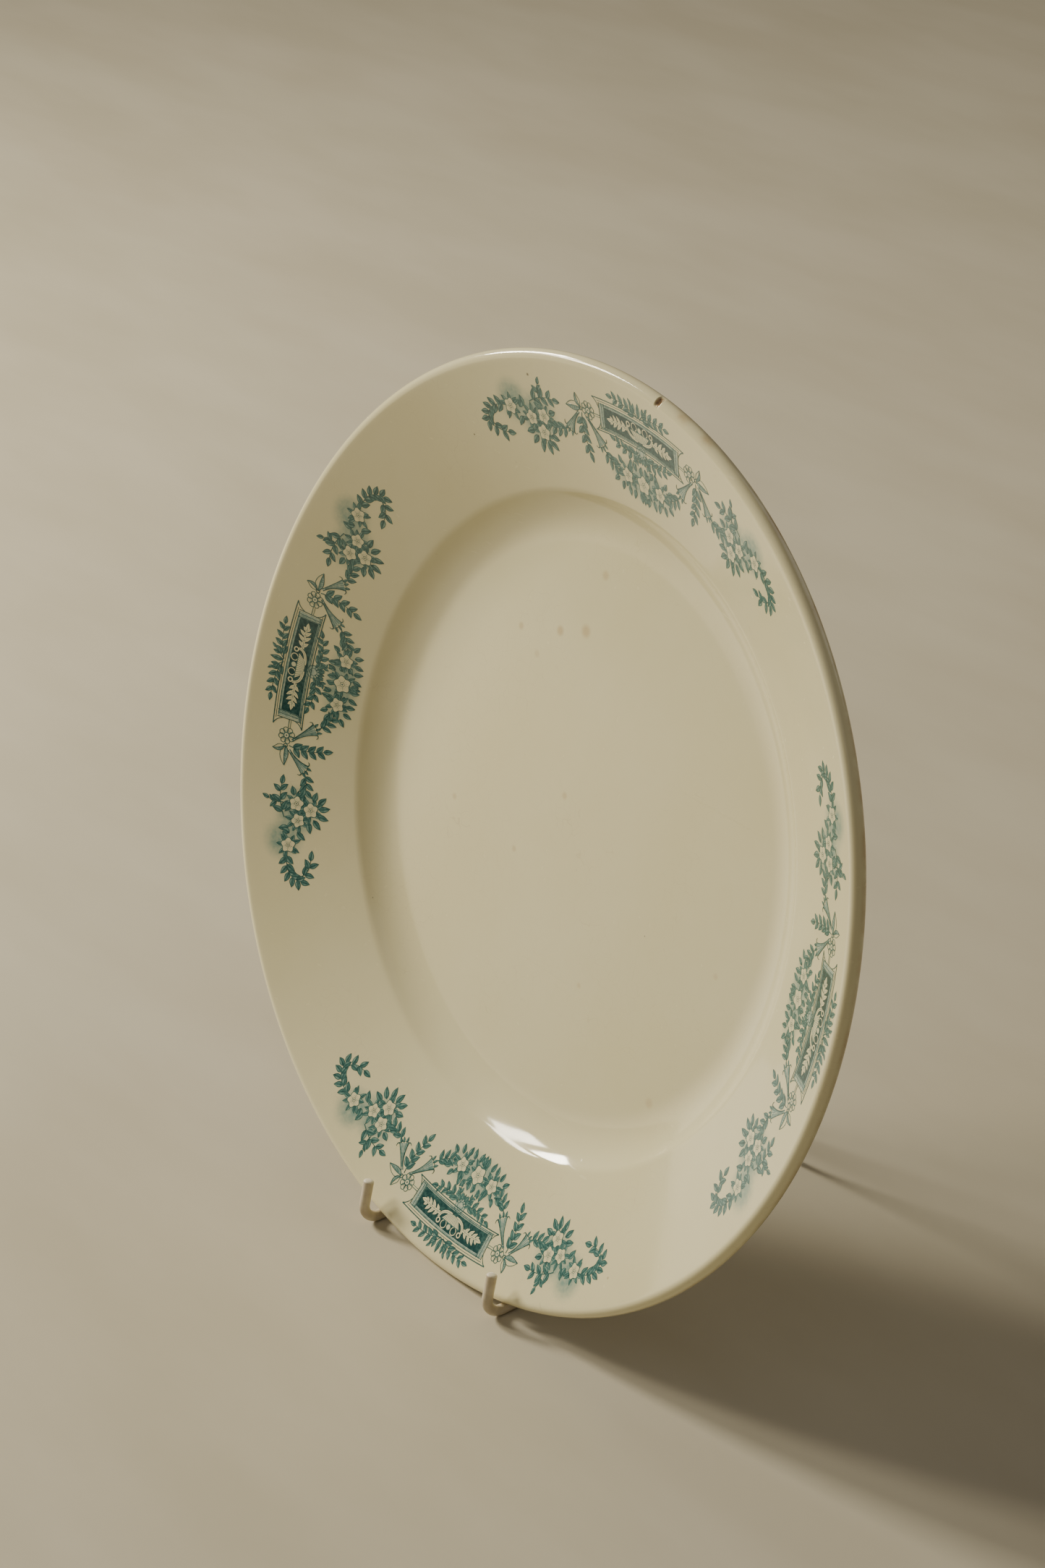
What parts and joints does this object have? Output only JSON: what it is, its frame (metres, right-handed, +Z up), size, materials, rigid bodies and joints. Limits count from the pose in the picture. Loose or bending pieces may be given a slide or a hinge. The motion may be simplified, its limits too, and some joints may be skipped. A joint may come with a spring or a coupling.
{
  "type": "serving platter on display stand",
  "caption": "Round glazed china serving platter with a broad printed rim, leaning in the sleeved hooks of a folding wire plate stand.",
  "frame": {"origin": "on the table under the middle of the overall box, with the platter leaning back on its open stand", "axes": "+Z up, the platter's face looks towards -Y, +X to the right of someone facing it"},
  "size_m": [0.305, 0.139, 0.2964],
  "materials": {
    "glazed_china": "glossy crazed cream glaze over a blue-green print",
    "plated_wire": "dull plated steel wire",
    "soft_sleeve": "aged cream soft plastic"
  },
  "bodies": {
    "stand_front": {"front_wire": "plated_wire", "hook_sleeve_left": "soft_sleeve", "hook_sleeve_right": "soft_sleeve"},
    "platter": {"platter": "glazed_china"},
    "rear_leg": {"rear_leg": "plated_wire"}
  },
  "joints": [
    {"name": "leg_fold", "type": "hinge", "parent": "stand_front", "child": "rear_leg", "pos_m": [0, 0.02182, 0.2079], "axis": [-1, 0, 0], "range_deg": [0, 26]},
    {"name": "platter_lift", "type": "slide", "parent": "stand_front", "child": "platter", "axis": [0, 0.2419, 0.9703], "range_m": [0, 0.13]}
  ]
}
